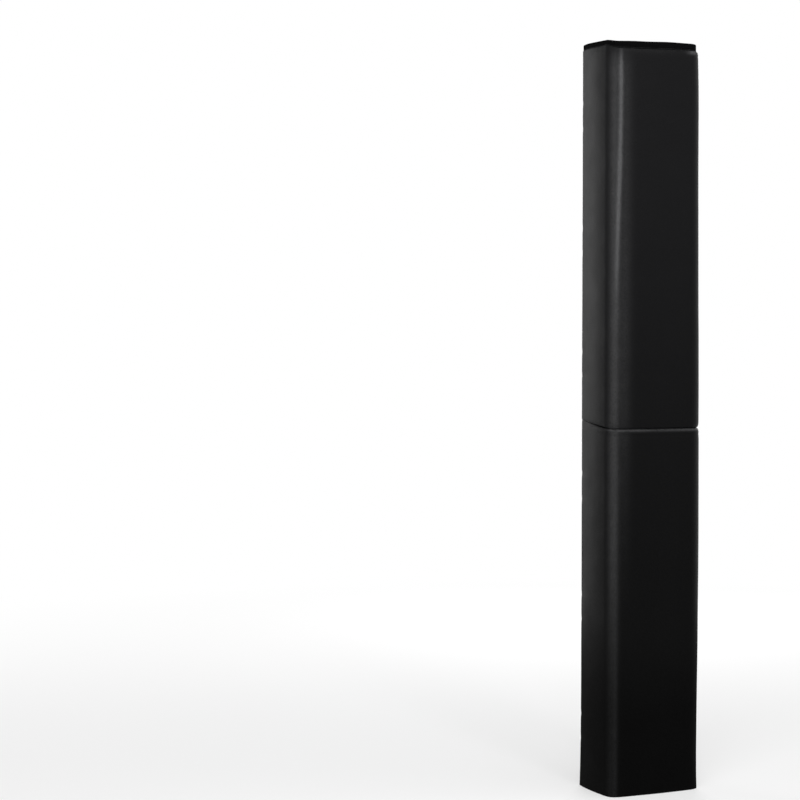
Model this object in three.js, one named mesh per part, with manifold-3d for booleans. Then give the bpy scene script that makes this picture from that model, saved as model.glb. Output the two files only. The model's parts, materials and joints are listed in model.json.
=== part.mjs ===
// A three-sided pad for a square basketball pole, in millimetres, +Z up, floor at z = 0.
// Two padded sections stand one on the other. Each has a front panel and two wings, cut from
// foam with mitred edges, so that a wing opens about the outer vinyl at its corner. The back is
// open to take the pole, and webbing straps close it. The front faces -Y.

import * as THREE from 'three';
import { mergeVertices } from 'three/addons/utils/BufferGeometryUtils.js';
import Module from 'manifold-3d';

const wasm = await Module();
wasm.setup();

// Driving sizes of the whole pad
const height = 1829;
const width = 258;
const depth = 152.4;
const padThickness = 50.8;
const cornerRadius = 38;
const seamHeight = 896;
const seamGap = 3;

// Soft shape of a padded section: how far its skin draws in at the ends, and its face's crown
const drawIn = 1;
const drawInReach = 120;
const shoulderInset = 3.5;
const shoulderRise = 9;
const faceCrown = 2;
const rearEdgeRadius = 8;

// Vinyl and the clearance between two pieces that lie against each other
const coverWall = 1;
const linerWall = 1;
const clearance = 0.3;
const cutOverrun = 5;
const sharpRadius = 0.2;

// Webbing along the top edge
const bindingHeight = 16;
const bindingThickness = 4;
const bindingInset = 6.5;

// Tape in the seam that joins the sections
const tapeInset = 7;
const tapeReach = 24;

// Closing straps
const strapWidth = 50;
const strapThickness = 2;
const strapHeightShares = [1 / 6, 1 / 2, 5 / 6];
const strapEndClip = 6;
const hookThickness = 1;
const hookMargin = 2;
const loopThickness = 1.5;
const anchorThickness = 2;
const anchorLength = 26;

// Where the strap's closure lies on the right wing's rear edge, from the wing's channel face
const closureStart = 14;
const closureLength = 28;
const strapBendLength = 20;

const colours = {
  vinyl: 0x1c1c1d, liner: 0x161616, foam: 0x4a4b4d, webbing: 0x141415, tape: 0x0e0e0f,
};

// The wing's hinge line: the middle of the corner's arc, in plan, measured from the front face
const halfWidth = width / 2;
const hingeInset = cornerRadius * (1 - Math.SQRT1_2);
const hingeX = halfWidth - hingeInset;
const rearRadius = depth - hingeInset;

// The stack of loop patch, hook tape and strap behind the wing's rear edge
const hookFloor = clearance + loopThickness + clearance;
const strapFloor = hookFloor + hookThickness + clearance;
const strapTop = strapFloor + strapThickness;

// The origin is at the middle of the pad's box, so the front face stands this far forward
const totalDepth = faceCrown + depth + strapTop;
const frontY = -totalDepth / 2 + faceCrown;
const hingeY = frontY + hingeInset;
const wingInnerX = halfWidth - padThickness;
const arcSteps = 5;
const reachSteps = 3;
const fullTurn = 2 * Math.PI;
const quarterTurn = fullTurn / 4;
const eighthTurn = fullTurn / 8;

// Plan outlines. An inset of each side is { skin, mitre, channel }: how far the outline stands in
// from the outer skin, from the mitre plane and from the channel face.

function arc(centreX, centreY, radius, from, to, steps) {
  return Array.from({ length: steps + 1 }, (_, i) => {
    const angle = from + ((to - from) * i) / steps;
    return [centreX + radius * Math.cos(angle), centreY + radius * Math.sin(angle)];
  });
}

// A straight side that swells outward like a shallow arch, without its two end points
function crowned([x0, y0], [x1, y1], crown, steps) {
  const length = Math.hypot(x1 - x0, y1 - y0);
  const out = [(y1 - y0) / length, (x0 - x1) / length];
  return Array.from({ length: steps - 1 }, (_, i) => {
    const share = (i + 1) / steps;
    const swell = crown * 4 * share * (1 - share);
    return [x0 + (x1 - x0) * share + out[0] * swell, y0 + (y1 - y0) * share + out[1] * swell];
  });
}

// The corner's arc under a skin inset, and how far a mitre inset turns its end from the mitre plane
function cornerArc(skin, mitre) {
  const radius = Math.max(cornerRadius - skin, sharpRadius);
  const centre = [halfWidth - skin - radius, frontY + skin + radius];
  const mitreAngle = Math.asin(THREE.MathUtils.clamp(mitre / radius, -1, 1));
  return { centre, radius, mitreAngle };
}

const mirrored = (outline) => outline.map(([x, y]) => [-x, y]).reverse();

// Front panel, anticlockwise from above: left arc, crowned face, right arc, channel face
function frontOutline({ skin, mitre, channel }) {
  const { centre, radius, mitreAngle } = cornerArc(skin, mitre);
  const right = arc(...centre, radius, -quarterTurn, -eighthTurn - mitreAngle, arcSteps);
  const left = mirrored(right);
  const channelY = frontY + padThickness - channel;
  const channelX = hingeX - (channelY - hingeY) - mitre * Math.SQRT2;
  const face = crowned(left[left.length - 1], right[0], faceCrown, arcSteps);
  return [...left, ...face, ...right, [channelX, channelY], [-channelX, channelY]];
}

// Right wing, anticlockwise from above: corner arc, crowned outer face, rounded rear edge, then a
// rear edge that is an arc about the hinge line, so that it swings clear under a closed strap
function wingOutline({ skin, mitre, channel }) {
  const { centre, radius, mitreAngle } = cornerArc(skin, mitre);
  const corner = arc(...centre, radius, -eighthTurn + mitreAngle, 0, arcSteps);
  const edgeRadius = Math.max(rearEdgeRadius - skin, sharpRadius);
  const rear = rearRadius - skin;
  const edgeX = halfWidth - skin - edgeRadius;
  const edgeY = hingeY + Math.sqrt((rear - edgeRadius) ** 2 - (edgeX - hingeX) ** 2);
  const edgeAngle = Math.atan2(edgeY - hingeY, edgeX - hingeX);
  const edge = arc(edgeX, edgeY, edgeRadius, 0, edgeAngle, arcSteps - 1);
  const outer = crowned(corner[corner.length - 1], edge[0], faceCrown, arcSteps);
  const channelX = wingInnerX + channel;
  const innerAngle = Math.acos((channelX - hingeX) / rear);
  const back = arc(hingeX, hingeY, rear, edgeAngle, innerAngle, arcSteps).slice(1);
  const mitreY = hingeY + mitre * Math.SQRT2 - (channelX - hingeX);
  return [...corner, ...outer, ...edge, ...back, [channelX, mitreY]];
}

const panels = {
  front: frontOutline,
  right_wing: wingOutline,
  left_wing: (insets) => mirrored(wingOutline(insets)),
};

// Solids

// A closed body through rings of equal count, given from the lowest up, each anticlockwise
function loft(rings) {
  const count = rings[0].length;
  const positions = rings.flat(2);
  const index = [];
  for (let level = 1; level < rings.length; level++) {
    for (let i = 0; i < count; i++) {
      const a = (level - 1) * count + i;
      const b = (level - 1) * count + ((i + 1) % count);
      index.push(a, b, b + count, a, b + count, a + count);
    }
  }
  const top = (rings.length - 1) * count;
  for (let i = 1; i < count - 1; i++) {
    index.push(0, i + 1, i, top, top + i, top + i + 1);
  }
  const geometry = new THREE.BufferGeometry();
  geometry.setAttribute('position', new THREE.Float32BufferAttribute(positions, 3));
  geometry.setIndex(index);
  return geometry;
}

function solid(geometry) {
  const bare = geometry.clone();
  bare.deleteAttribute('normal');
  bare.deleteAttribute('uv');
  const merged = mergeVertices(bare);
  return new wasm.Manifold(new wasm.Mesh({
    numProp: 3,
    vertProperties: new Float32Array(merged.attributes.position.array),
    triVerts: new Uint32Array(merged.index.array),
  }));
}

function geometryOf(manifold) {
  const mesh = manifold.getMesh();
  const geometry = new THREE.BufferGeometry();
  geometry.setAttribute('position', new THREE.BufferAttribute(mesh.vertProperties, 3));
  geometry.setIndex(new THREE.BufferAttribute(mesh.triVerts, 1));
  return geometry;
}

// The levels of a section, from the lowest up: { z, inset }. A soft end draws in over a long reach
// and then rounds over a shoulder. The inset is measured from the widest skin.
function endLevels(end, drawn, shoulder, rise) {
  const reach = Array.from({ length: reachSteps }, (_, i) => {
    const share = i / reachSteps;
    return { z: drawInReach * (1 - share), inset: drawn * share ** 2 };
  });
  const round = shoulder === 0
    ? [{ z: 0, inset: drawn }]
    : Array.from({ length: arcSteps + 1 }, (_, i) => {
      const angle = (quarterTurn * i) / arcSteps;
      return {
        z: rise * (1 - Math.sin(angle)),
        inset: drawn + shoulder * (1 - Math.cos(angle)),
      };
    });
  const levels = [...reach, ...round];
  return levels.map(({ z, inset }) => ({ z: end.z + end.up * z, inset }));
}

// A panel as a body: its outline at each level, every face stood in by its own inset
function panelBody(name, section, insets, margin) {
  const shoulderAt = (soft) => (soft ? shoulderInset - margin : 0);
  const rise = shoulderRise - margin;
  const low = endLevels(
    { z: section.bottom + margin, up: 1 }, drawIn, shoulderAt(section.softBottom), rise);
  const high = endLevels({ z: section.top - margin, up: -1 }, drawIn, shoulderAt(true), rise);
  const rings = [...low.reverse(), ...high].map(({ z, inset }) => panels[name]({
    ...insets, skin: insets.skin + inset,
  }).map(([x, y]) => [x, y, z]));
  return loft(rings);
}

// The same outline carried straight up, for cutting tools and trim
function prism(name, insets, bottom, top) {
  const ring = panels[name](insets);
  return loft([bottom, top].map((z) => ring.map(([x, y]) => [x, y, z])));
}

const sections = {
  lower: { bottom: 0, top: seamHeight - seamGap / 2, softBottom: false },
  upper: {
    bottom: seamHeight + seamGap / 2,
    top: height - bindingHeight - clearance,
    softBottom: true,
  },
};

const skinGap = coverWall + clearance;
const mitreGap = clearance / 2;

// Vinyl cover: outer face, both ends and the rear edge, open to the channel and the mitre
function coverGeometry(name, section) {
  const outer = panelBody(name, section, { skin: 0, mitre: mitreGap, channel: 0 }, 0);
  const inner = panelBody(
    name, section, { skin: coverWall, mitre: -cutOverrun, channel: -cutOverrun }, coverWall);
  return geometryOf(solid(outer).subtract(solid(inner)));
}

// Liner: the sheet on the channel face with its flange along the mitre, inside the cover
function linerGeometry(name, section) {
  const filled = panelBody(name, section, { skin: skinGap, mitre: mitreGap, channel: 0 }, skinGap);
  const kept = prism(
    name, { skin: -cutOverrun, mitre: mitreGap + linerWall, channel: linerWall },
    section.bottom - cutOverrun, section.top + cutOverrun);
  return geometryOf(solid(filled).subtract(solid(kept)));
}

function foamGeometry(name, section) {
  const inset = linerWall + clearance;
  return panelBody(
    name, section, { skin: skinGap, mitre: mitreGap + inset, channel: inset }, skinGap);
}

// Binding: webbing that stands along the outer side of the top edge
function bindingGeometry(name) {
  const bottom = height - bindingHeight;
  const outer = prism(
    name, { skin: bindingInset, mitre: mitreGap, channel: 0 }, bottom, height);
  const inner = prism(
    name,
    { skin: bindingInset + bindingThickness, mitre: -cutOverrun, channel: -cutOverrun },
    bottom - cutOverrun, height + cutOverrun);
  return geometryOf(solid(outer).subtract(solid(inner)));
}

// Hinge tape: a strip of vinyl in the seam, along the front panel's face
function hingeTapeGeometry() {
  const bottom = seamHeight - seamGap / 2 + clearance;
  const top = seamHeight + seamGap / 2 - clearance;
  const outer = prism('front', { skin: tapeInset, mitre: mitreGap, channel: 0 }, bottom, top);
  const inner = prism(
    'front',
    { skin: tapeInset + tapeReach, mitre: -cutOverrun, channel: -cutOverrun },
    bottom - cutOverrun, top + cutOverrun);
  return geometryOf(solid(outer).subtract(solid(inner)));
}

// Straps. Heights above a wing's rear edge are measured along the radius from its hinge line.

const rearAt = (x, lift) => (
  hingeY + Math.sqrt((rearRadius + lift) ** 2 - (Math.abs(x) - hingeX) ** 2));

const strapRoot = -(halfWidth - rearEdgeRadius - anchorLength);
const closureFrom = wingInnerX + closureStart;
const closureTo = closureFrom + closureLength;
const strapEnd = closureTo + hookMargin;

// A band that follows a line in plan, given by a function of x, with its thickness behind it
function band(line, xs, thickness, bottom, top) {
  const points = xs.map((x) => new THREE.Vector2(x, line(x)));
  const offset = points.map((point, i) => {
    const before = points[Math.max(i - 1, 0)];
    const after = points[Math.min(i + 1, points.length - 1)];
    const along = after.clone().sub(before).normalize();
    return new THREE.Vector2(point.x - along.y * thickness, point.y + along.x * thickness);
  });
  const shape = new THREE.Shape([...points, ...offset.reverse()]);
  const geometry = new THREE.ExtrudeGeometry(shape, { depth: top - bottom, bevelEnabled: false });
  return geometry.translate(0, 0, bottom);
}

const spread = (from, to, steps) => (
  Array.from({ length: steps + 1 }, (_, i) => from + ((to - from) * i) / steps));

// The strap runs level across the channel, then bends to follow the right wing's rear edge
function strapLine(x) {
  const level = rearAt(strapRoot, clearance);
  if (x < closureFrom - strapBendLength) return level;
  const edge = rearAt(Math.max(x, wingInnerX), strapFloor);
  const share = Math.min((x - closureFrom + strapBendLength) / strapBendLength, 1);
  return level + (edge - level) * share * share * (3 - 2 * share);
}

function strapGeometry(middle) {
  const bottom = middle - strapWidth / 2;
  const top = middle + strapWidth / 2;
  const xs = [
    strapRoot + clearance,
    ...spread(closureFrom - strapBendLength, closureFrom, arcSteps * 2),
    ...spread(closureFrom, strapEnd, arcSteps).slice(1),
  ];
  const webbing = solid(band(strapLine, xs, strapThickness, bottom - cutOverrun, top + cutOverrun));
  const tip = strapEnd + cutOverrun;
  const clip = strapEndClip + cutOverrun;
  const face = new THREE.Shape([
    [strapRoot - cutOverrun, bottom], [strapEnd - strapEndClip, bottom], [tip, bottom + clip],
    [tip, top - clip], [strapEnd - strapEndClip, top], [strapRoot - cutOverrun, top],
  ].map(([x, z]) => new THREE.Vector2(x, z)));
  const cutter = new THREE.ExtrudeGeometry(face, { depth: totalDepth, bevelEnabled: false })
    .rotateX(quarterTurn)
    .translate(0, totalDepth, 0);
  return geometryOf(webbing.intersect(solid(cutter)));
}

function hookTapeGeometry(middle) {
  const half = strapWidth / 2 - hookMargin;
  const xs = spread(closureFrom, closureTo, arcSteps);
  return band((x) => rearAt(x, hookFloor), xs, hookThickness, middle - half, middle + half);
}

function loopPatchGeometry(middle) {
  const half = strapWidth / 2;
  const xs = spread(closureFrom, closureTo, arcSteps);
  return band((x) => rearAt(x, clearance), xs, loopThickness, middle - half, middle + half);
}

function anchorTabGeometry(middle) {
  const half = strapWidth / 2;
  const xs = spread(strapRoot - anchorLength, strapRoot, arcSteps);
  return band((x) => rearAt(x, clearance), xs, anchorThickness, middle - half, middle + half);
}

// Assembly

const finishes = Object.fromEntries(Object.entries(colours).map(([name, colour]) => [
  name,
  new THREE.MeshStandardMaterial({ color: colour, roughness: name === 'vinyl' ? 0.4 : 0.85 }),
]));

function piece(name, geometry, finish) {
  const mesh = new THREE.Mesh(geometry, finishes[finish]);
  mesh.name = name;
  return mesh;
}

function paddedPanel(sectionName, panelName) {
  const section = sections[sectionName];
  const group = new THREE.Group();
  const label = `${sectionName}_${panelName}`;
  group.add(piece(`${label}_cover`, coverGeometry(panelName, section), 'vinyl'));
  group.add(piece(`${label}_liner`, linerGeometry(panelName, section), 'liner'));
  group.add(piece(`${label}_foam`, foamGeometry(panelName, section), 'foam'));
  return group;
}

function strapSet(number, middle) {
  const group = new THREE.Group();
  group.add(piece(`strap_${number}_webbing`, strapGeometry(middle), 'webbing'));
  group.add(piece(`strap_${number}_hook_tape`, hookTapeGeometry(middle), 'tape'));
  group.add(piece(`strap_${number}_loop_patch`, loopPatchGeometry(middle), 'tape'));
  group.add(piece(`strap_${number}_anchor_tab`, anchorTabGeometry(middle), 'webbing'));
  return group;
}

const pad = new THREE.Group();
for (const sectionName of Object.keys(sections)) {
  for (const panelName of Object.keys(panels)) pad.add(paddedPanel(sectionName, panelName));
}
for (const panelName of Object.keys(panels)) {
  pad.add(piece(`top_binding_${panelName}`, bindingGeometry(panelName), 'webbing'));
}
pad.add(piece('seam_hinge_tape', hingeTapeGeometry(), 'tape'));

let strapNumber = 0;
for (const { bottom, top } of Object.values(sections)) {
  for (const share of strapHeightShares) {
    strapNumber += 1;
    pad.add(strapSet(strapNumber, bottom + (top - bottom) * share));
  }
}

export default pad;
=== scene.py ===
"""A three-sided pad for a square basketball pole: two padded vinyl sections, one on the other.

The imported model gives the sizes. Each section below makes one group of pieces, in the order in
which the pad is put together. Lengths are in metres, +Z is up and the front faces -Y.
"""

import json
import math

import bmesh
import bpy
import numpy as np
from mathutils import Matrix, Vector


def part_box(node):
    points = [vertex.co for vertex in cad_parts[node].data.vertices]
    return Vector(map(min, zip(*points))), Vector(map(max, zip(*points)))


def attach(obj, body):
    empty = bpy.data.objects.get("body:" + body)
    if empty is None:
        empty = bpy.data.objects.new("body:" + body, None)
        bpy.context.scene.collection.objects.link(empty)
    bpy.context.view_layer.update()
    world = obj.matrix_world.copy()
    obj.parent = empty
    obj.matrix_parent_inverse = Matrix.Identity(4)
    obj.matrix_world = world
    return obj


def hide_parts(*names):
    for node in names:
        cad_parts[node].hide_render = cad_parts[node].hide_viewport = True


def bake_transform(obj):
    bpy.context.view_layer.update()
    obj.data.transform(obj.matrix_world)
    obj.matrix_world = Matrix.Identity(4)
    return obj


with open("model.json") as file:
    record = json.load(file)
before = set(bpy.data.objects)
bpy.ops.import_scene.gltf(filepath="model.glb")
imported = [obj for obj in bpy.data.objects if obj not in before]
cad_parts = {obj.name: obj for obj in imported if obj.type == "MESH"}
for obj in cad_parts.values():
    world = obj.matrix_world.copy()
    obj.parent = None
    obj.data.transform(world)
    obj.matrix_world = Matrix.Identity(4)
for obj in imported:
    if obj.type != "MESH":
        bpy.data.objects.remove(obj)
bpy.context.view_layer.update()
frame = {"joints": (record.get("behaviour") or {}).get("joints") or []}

MM = 0.001


# Camera
# A moderate telephoto a little above the pad's middle, to its left and aimed past it, so that the
# pad stands at the right of the picture and fills its height.
CAMERA_AZIMUTH = math.radians(-29.56)
CAMERA_DISTANCE = 4.349
EYE_HEIGHT = 1.081
AIM_YAW = math.radians(7.873)
AIM_PITCH = math.radians(-1.601)
LENS_MM = 78.5


def placed(name, data):
    """A new object in the scene."""
    made = bpy.data.objects.new(name, data)
    bpy.context.scene.collection.objects.link(made)
    return made


camera = placed("camera", bpy.data.cameras.new("camera"))
camera.data.lens = LENS_MM
camera.data.sensor_width = 36
camera.location = (
    CAMERA_DISTANCE * math.sin(CAMERA_AZIMUTH),
    -CAMERA_DISTANCE * math.cos(CAMERA_AZIMUTH),
    EYE_HEIGHT,
)
camera.rotation_euler = (math.pi / 2 + AIM_PITCH, 0, CAMERA_AZIMUTH + AIM_YAW)
bpy.context.scene.camera = camera
bpy.context.scene.view_settings.view_transform = "Standard"


# Padded sections
# Each section is a foam core with 45 degree mitred corners in a cover of vinyl-coated polyester,
# sewn inside out so that the seams at its ends pull the vinyl in over a rounded shoulder. It is
# made as a left and a right half that meet at the middle of the front. A half is slit along its
# mitre up to the outer vinyl, which is the hinge when the wing opens.
joints = {joint["name"]: joint for joint in frame["joints"]}
hinge_x, hinge_y = joints["lower_right_wing_hinge"]["pos_m"][:2]
fold_z = joints["mid_fold"]["pos_m"][2]

FACE_CROWN = 2 * MM
FRONT_TURN = math.radians(3)
WING_TURN = math.radians(9)
WIDEST_AT = 50 * MM
REAR_BOW = 0.5
HEM_RADIUS = 1.5 * MM
REAR_EDGE_RADIUS = 8 * MM
LINER_THICKNESS = 0.9 * MM
LINER_SETBACK = 1.1 * MM
SLIT_HALF = 1.25 * MM
SKIN_THICKNESS = 2.0 * MM
SEAM_SLANT = 19 * MM
SEAM_DIP = 2.4 * MM
SEAM_SLANT_REACH = 90 * MM
SEAM_CLOSE = 1.2 * MM
END_BULGE = 0.15 * MM
TOP_DROP = 4 * MM
SIDES = ((-1, "left"), (1, "right"))

half_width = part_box("lower_right_wing_cover")[1][0] - FACE_CROWN
corner_radius = (half_width - hinge_x) / (1 - math.sqrt(0.5))
corner_x = hinge_x - corner_radius * math.sqrt(0.5)
corner_y = hinge_y + corner_radius * math.sqrt(0.5)
rear_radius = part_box("lower_right_wing_cover")[1][1] - hinge_y
channel_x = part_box("lower_right_wing_liner")[0][0]
channel_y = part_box("lower_front_liner")[1][1]
covers = {name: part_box(f"{name}_front_cover") for name in ("lower", "upper")}
sections = {
    "lower": (covers["lower"][0][2], covers["lower"][1][2] + SEAM_CLOSE),
    "upper": (covers["upper"][0][2] - SEAM_CLOSE, covers["upper"][1][2] - TOP_DROP),
}
strap_boxes = {n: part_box(f"strap_{n}_webbing") for n in range(1, 7)}
strap_heights = [(low[2] + high[2]) / 2 for low, high in strap_boxes.values()]


def smooth(t):
    """Eases from 0 to 1: 3t^2 - 2t^3, held at both ends."""
    t = np.clip(t, 0, 1)
    return t * t * (3 - 2 * t)


TOP_REACH = 70 * MM
PADDING_TOP = (-1.5 * MM, 4.8 * MM, 9.5 * MM, 3.5 * MM)
LEFT_BEND_FROM, LEFT_BEND_REACH = 75 * MM, 45 * MM
CORNER_CLIMB_FROM, CORNER_CLIMB_REACH = -78.5 * MM, 33 * MM
WING_CLIMB_FROM, WING_CLIMB_REACH = -46 * MM, 100 * MM


def top_rise(points, amounts):
    """How far a top edge lies off level: each amount is reached by an easing curve.

    The edge lies off by the first amount at the front's left end and by the second at its right.
    On the left it also climbs, by the third amount round the corner and the last along the wing.
    """
    left_end, right_end, corner, wing = amounts
    x, y = points[..., 0], points[..., 1]
    across = np.clip((x + hinge_x) / (1.92 * hinge_x), 0, 1) ** 1.5
    climb = corner * smooth((y - CORNER_CLIMB_FROM) / CORNER_CLIMB_REACH)
    climb = climb + wing * smooth((y - WING_CLIMB_FROM) / WING_CLIMB_REACH)
    on_left = smooth((-x - LEFT_BEND_FROM) / LEFT_BEND_REACH)
    return left_end + (right_end - left_end) * across + on_left * climb


def slanted(points):
    """Moves points near the seam, which dips along the front and rises along each wing.

    Those near the top follow its edge, less and less further down.
    """
    back = np.clip((points[..., 1] - hinge_y) / rear_radius, 0, 1)
    near = np.exp(-(((points[..., 2] - fold_z) / SEAM_SLANT_REACH) ** 2))
    below = np.maximum(sections["upper"][1] - points[..., 2], 0)
    edge = top_rise(points, PADDING_TOP) * np.exp(-below / TOP_REACH)
    lifted = points.copy()
    lifted[..., 2] += (SEAM_SLANT * back - SEAM_DIP) * near + edge
    return lifted


FRONT_STEPS = 36
CORNER_STEPS = 16
MITRE = FRONT_STEPS + CORNER_STEPS
WING_FIRST = MITRE + CORNER_STEPS


def facing(angle):
    """Unit vectors in plan that face an angle to the right of straight ahead."""
    return np.stack([np.sin(angle), -np.cos(angle)], axis=-1)


def meeting(first, first_radius, second, second_radius):
    """The rear one of the two points where two circles in plan cross."""
    across = np.subtract(second, first)
    span = np.linalg.norm(across)
    along = (first_radius**2 - second_radius**2 + span**2) / (2 * span)
    aside = math.sqrt(first_radius**2 - along**2)
    step = across / span
    return first + along * step + aside * np.array([-step[1], step[0]])


def plan_arcs():
    """The right half's outer skin in plan: arcs that run smoothly into one another.

    They are the front's slow bow, the corner in two halves, and the wing, which turns faster
    ahead of its widest point than behind it. Each is a centre, a radius, the angles that it
    faces from and to, and its steps. The last centre is that of the rear edge's rounding.
    """
    corner = np.array([corner_x, corner_y])
    front_radius = corner_radius + corner_x / math.sin(FRONT_TURN)
    front = corner - (front_radius - corner_radius) * facing(FRONT_TURN)
    wing_radius = WIDEST_AT / WING_TURN
    wing_from = math.pi / 2 - WING_TURN
    wing = corner - (wing_radius - corner_radius) * facing(wing_from)
    rear = wing + np.array([wing_radius - REAR_BOW, 0])
    edge = meeting(
        rear, REAR_BOW - REAR_EDGE_RADIUS, (hinge_x, hinge_y), rear_radius - REAR_EDGE_RADIUS
    )
    rear_to = math.pi / 2 + math.atan2(edge[1] - rear[1], edge[0] - rear[0])
    arcs = [
        (front, front_radius, 0, FRONT_TURN, FRONT_STEPS),
        (corner, corner_radius, FRONT_TURN, math.pi / 4, CORNER_STEPS),
        (corner, corner_radius, math.pi / 4, wing_from, CORNER_STEPS),
        (wing, wing_radius, wing_from, math.pi / 2, 10),
        (rear, REAR_BOW, math.pi / 2, rear_to, 13),
    ]
    return arcs, edge, rear_to


def outer_plan():
    """Points and outward normals along the arcs, from the front's middle to the rear edge."""
    points, normals = [np.zeros((0, 2))], [np.zeros((0, 2))]
    for number, (centre, radius, start, end, steps) in enumerate(plan_arcs()[0]):
        out = facing(np.linspace(start, end, steps + 1))[1 if number else 0 :]
        normals.append(out)
        points.append(centre + radius * out)
    return np.concatenate(points), np.concatenate(normals)


DEPTH_SHARES = np.array([0, 0.045, 0.09, 0.14, 0.2, 0.3, 0.42, 0.55, 0.68, 0.8, 0.9, 0.96, 1])
EDGE_STEPS = 4


def rear_plan():
    """The wing's rear edge in plan: a small arc, then an arc about the wing's own hinge line."""
    edge, start = plan_arcs()[1:]
    turn = math.pi / 2 + math.atan2(edge[1] - hinge_y, edge[0] - hinge_x)
    inner = math.pi / 2 + math.acos((channel_x + LINER_SETBACK - hinge_x) / rear_radius)
    shares = DEPTH_SHARES[EDGE_STEPS:]
    large = turn + (inner - turn) * (shares - shares[0]) / (1 - shares[0])
    normals = facing(np.r_[np.linspace(start, turn, EDGE_STEPS + 1), large[1:]])
    points = np.r_[
        edge + REAR_EDGE_RADIUS * normals[: EDGE_STEPS + 1],
        [hinge_x, hinge_y] + rear_radius * normals[EDGE_STEPS + 1 :],
    ]
    return points, normals


# How each end is finished: the rise and depth of its shoulder, the length over which the skin
# draws in towards it and by how much, and how deep the hollow under the shoulder's roll is.
SECTION_ENDS = {
    ("lower", "bottom"): (HEM_RADIUS, HEM_RADIUS, 60 * MM, 0.3 * MM, 0),
    ("lower", "top"): (13 * MM, 9 * MM, 50 * MM, 0.4 * MM, 0.7 * MM),
    ("upper", "bottom"): (12 * MM, 4.2 * MM, 50 * MM, 0.4 * MM, 0),
    ("upper", "top"): (8 * MM, 4.4 * MM, 110 * MM, 2.0 * MM, 0),
}
SHOULDER_STEPS = 12
HEM_STEPS = 3
RING_COUNT = 169
EVEN_SHARE = 0.45
HOLLOW_AT = 17 * MM
HOLLOW_REACH = 5 * MM


def shoulder(name, end):
    """A quarter of an ellipse: how far its points lie from the section's end, and their insets."""
    rise, depth = SECTION_ENDS[name, end][:2]
    steps = SHOULDER_STEPS if rise > HEM_RADIUS else HEM_STEPS
    turn = np.linspace(0, np.pi / 2, steps)
    return rise * (1 - np.sin(turn)), depth * (1 - np.cos(turn))


def section_levels(name):
    """Heights of a section's rings, and how far each ring's skin stands in from the widest.

    The rings lie closer together towards both ends, by a raised cosine mixed with even steps.
    """
    low, high = sections[name]
    below, below_inset = shoulder(name, "bottom")
    above, above_inset = shoulder(name, "top")
    even = np.linspace(0, 1, RING_COUNT + 2)[1:-1]
    share = EVEN_SHARE * even + (1 - EVEN_SHARE) * (1 - np.cos(np.pi * even)) / 2
    first, last = low + below[0], high - above[0]
    middle = first + (last - first) * share
    z = np.r_[low + below[::-1], middle, high - above]
    inset = np.r_[below_inset[::-1], np.zeros(len(middle)), above_inset]
    for end, away in (("bottom", z - low), ("top", high - z)):
        reach, draw, hollow = SECTION_ENDS[name, end][2:]
        inset = inset + draw * np.clip(1 - away / reach, 0, 1) ** 2
        inset = inset + hollow * np.exp(-(((away - HOLLOW_AT) / HOLLOW_REACH) ** 2))
    return z, inset


PLAN, PLAN_NORMALS = outer_plan()
REAR, REAR_NORMALS = rear_plan()


def lengths_along(points):
    """Distance of each point from the first, along the line."""
    return np.r_[0, np.cumsum(np.linalg.norm(np.diff(points, axis=0), axis=1))]


def sampled(places, along, values):
    """Rows of values, taken at places along a line by straight steps."""
    return np.stack([np.interp(places, along, column) for column in values.T], axis=-1)


def bell(value, middle, reach):
    """1 at the middle, falling off on both sides as a Gaussian."""
    return np.exp(-(((value - middle) / reach) ** 2))


ALONG = lengths_along(PLAN)
OUTER_LENGTH = ALONG[-1]
WING_START = ALONG[WING_FIRST]
REAR_ALONG = OUTER_LENGTH + lengths_along(REAR)


WAVE_HEIGHT = 0.22 * MM
GATHER_PITCH, GATHER_REACH = 2.3 * MM, 11 * MM
PUCKERS = ((30 * MM, 0.9 * MM), (-31 * MM, 0.8 * MM))
PHASES = {"lower": 0.7, "upper": 2.9}


def ripples(along, z, side, name):
    """Height of the vinyl's unevenness: slow waves, gathers at the ends, puckers at the straps.

    The waves are products of sines whose phases wander with one another. The gathers are a fine
    sine that dies off from each sewn end. A pucker is a hollow above or below a strap's end.
    """
    phase = PHASES[name]
    across = side * along
    waves = (
        np.sin(across / 0.031 + 1.9 * np.sin(z / 0.17 + phase))
        * np.sin(z / 0.083 + 2.2 * np.sin(across / 0.07 + phase))
        + 0.8 * np.sin(z / 0.21 + across / 0.05 + phase)
    )
    low, high = sections[name]
    end = np.minimum(z - low, high - z) if name == "upper" else high - z
    gathers = np.exp(-end / GATHER_REACH) * np.sin(
        across / GATHER_PITCH + 2 * np.sin(across / (17 * MM)) + phase
    )
    puckers = 0
    for height in strap_heights:
        if low < height < high:
            for offset, depth in PUCKERS:
                shape = bell(z, height + offset, 7 * MM) * bell(along, OUTER_LENGTH, 26 * MM)
                puckers = puckers - depth * shape
    return WAVE_HEIGHT * (waves + gathers) + puckers


TOP_TUCK = 1.8 * MM
FOOT_SQUARENESS, FOOT_REACH = 3.3 * MM, 0.06
RIGHT_BOWS = ((3.0 * MM, 1.0, 0.4), (4.0 * MM, 0.5, 0.38))
WING_FLARE, WING_FLARE_REACH = 3.6 * MM, 0.09
CREASE_DEPTH, CREASE_HALF, CREASE_FOOT = 0.6 * MM, 4 * MM, 1.2


def crease_at(z):
    """Where the crease lies: a little way round the corner, and nearer to the front higher up."""
    return ALONG[FRONT_STEPS] + 8 * MM + 9 * MM * (1 - smooth((z - CREASE_FOOT) / 0.5))


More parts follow.
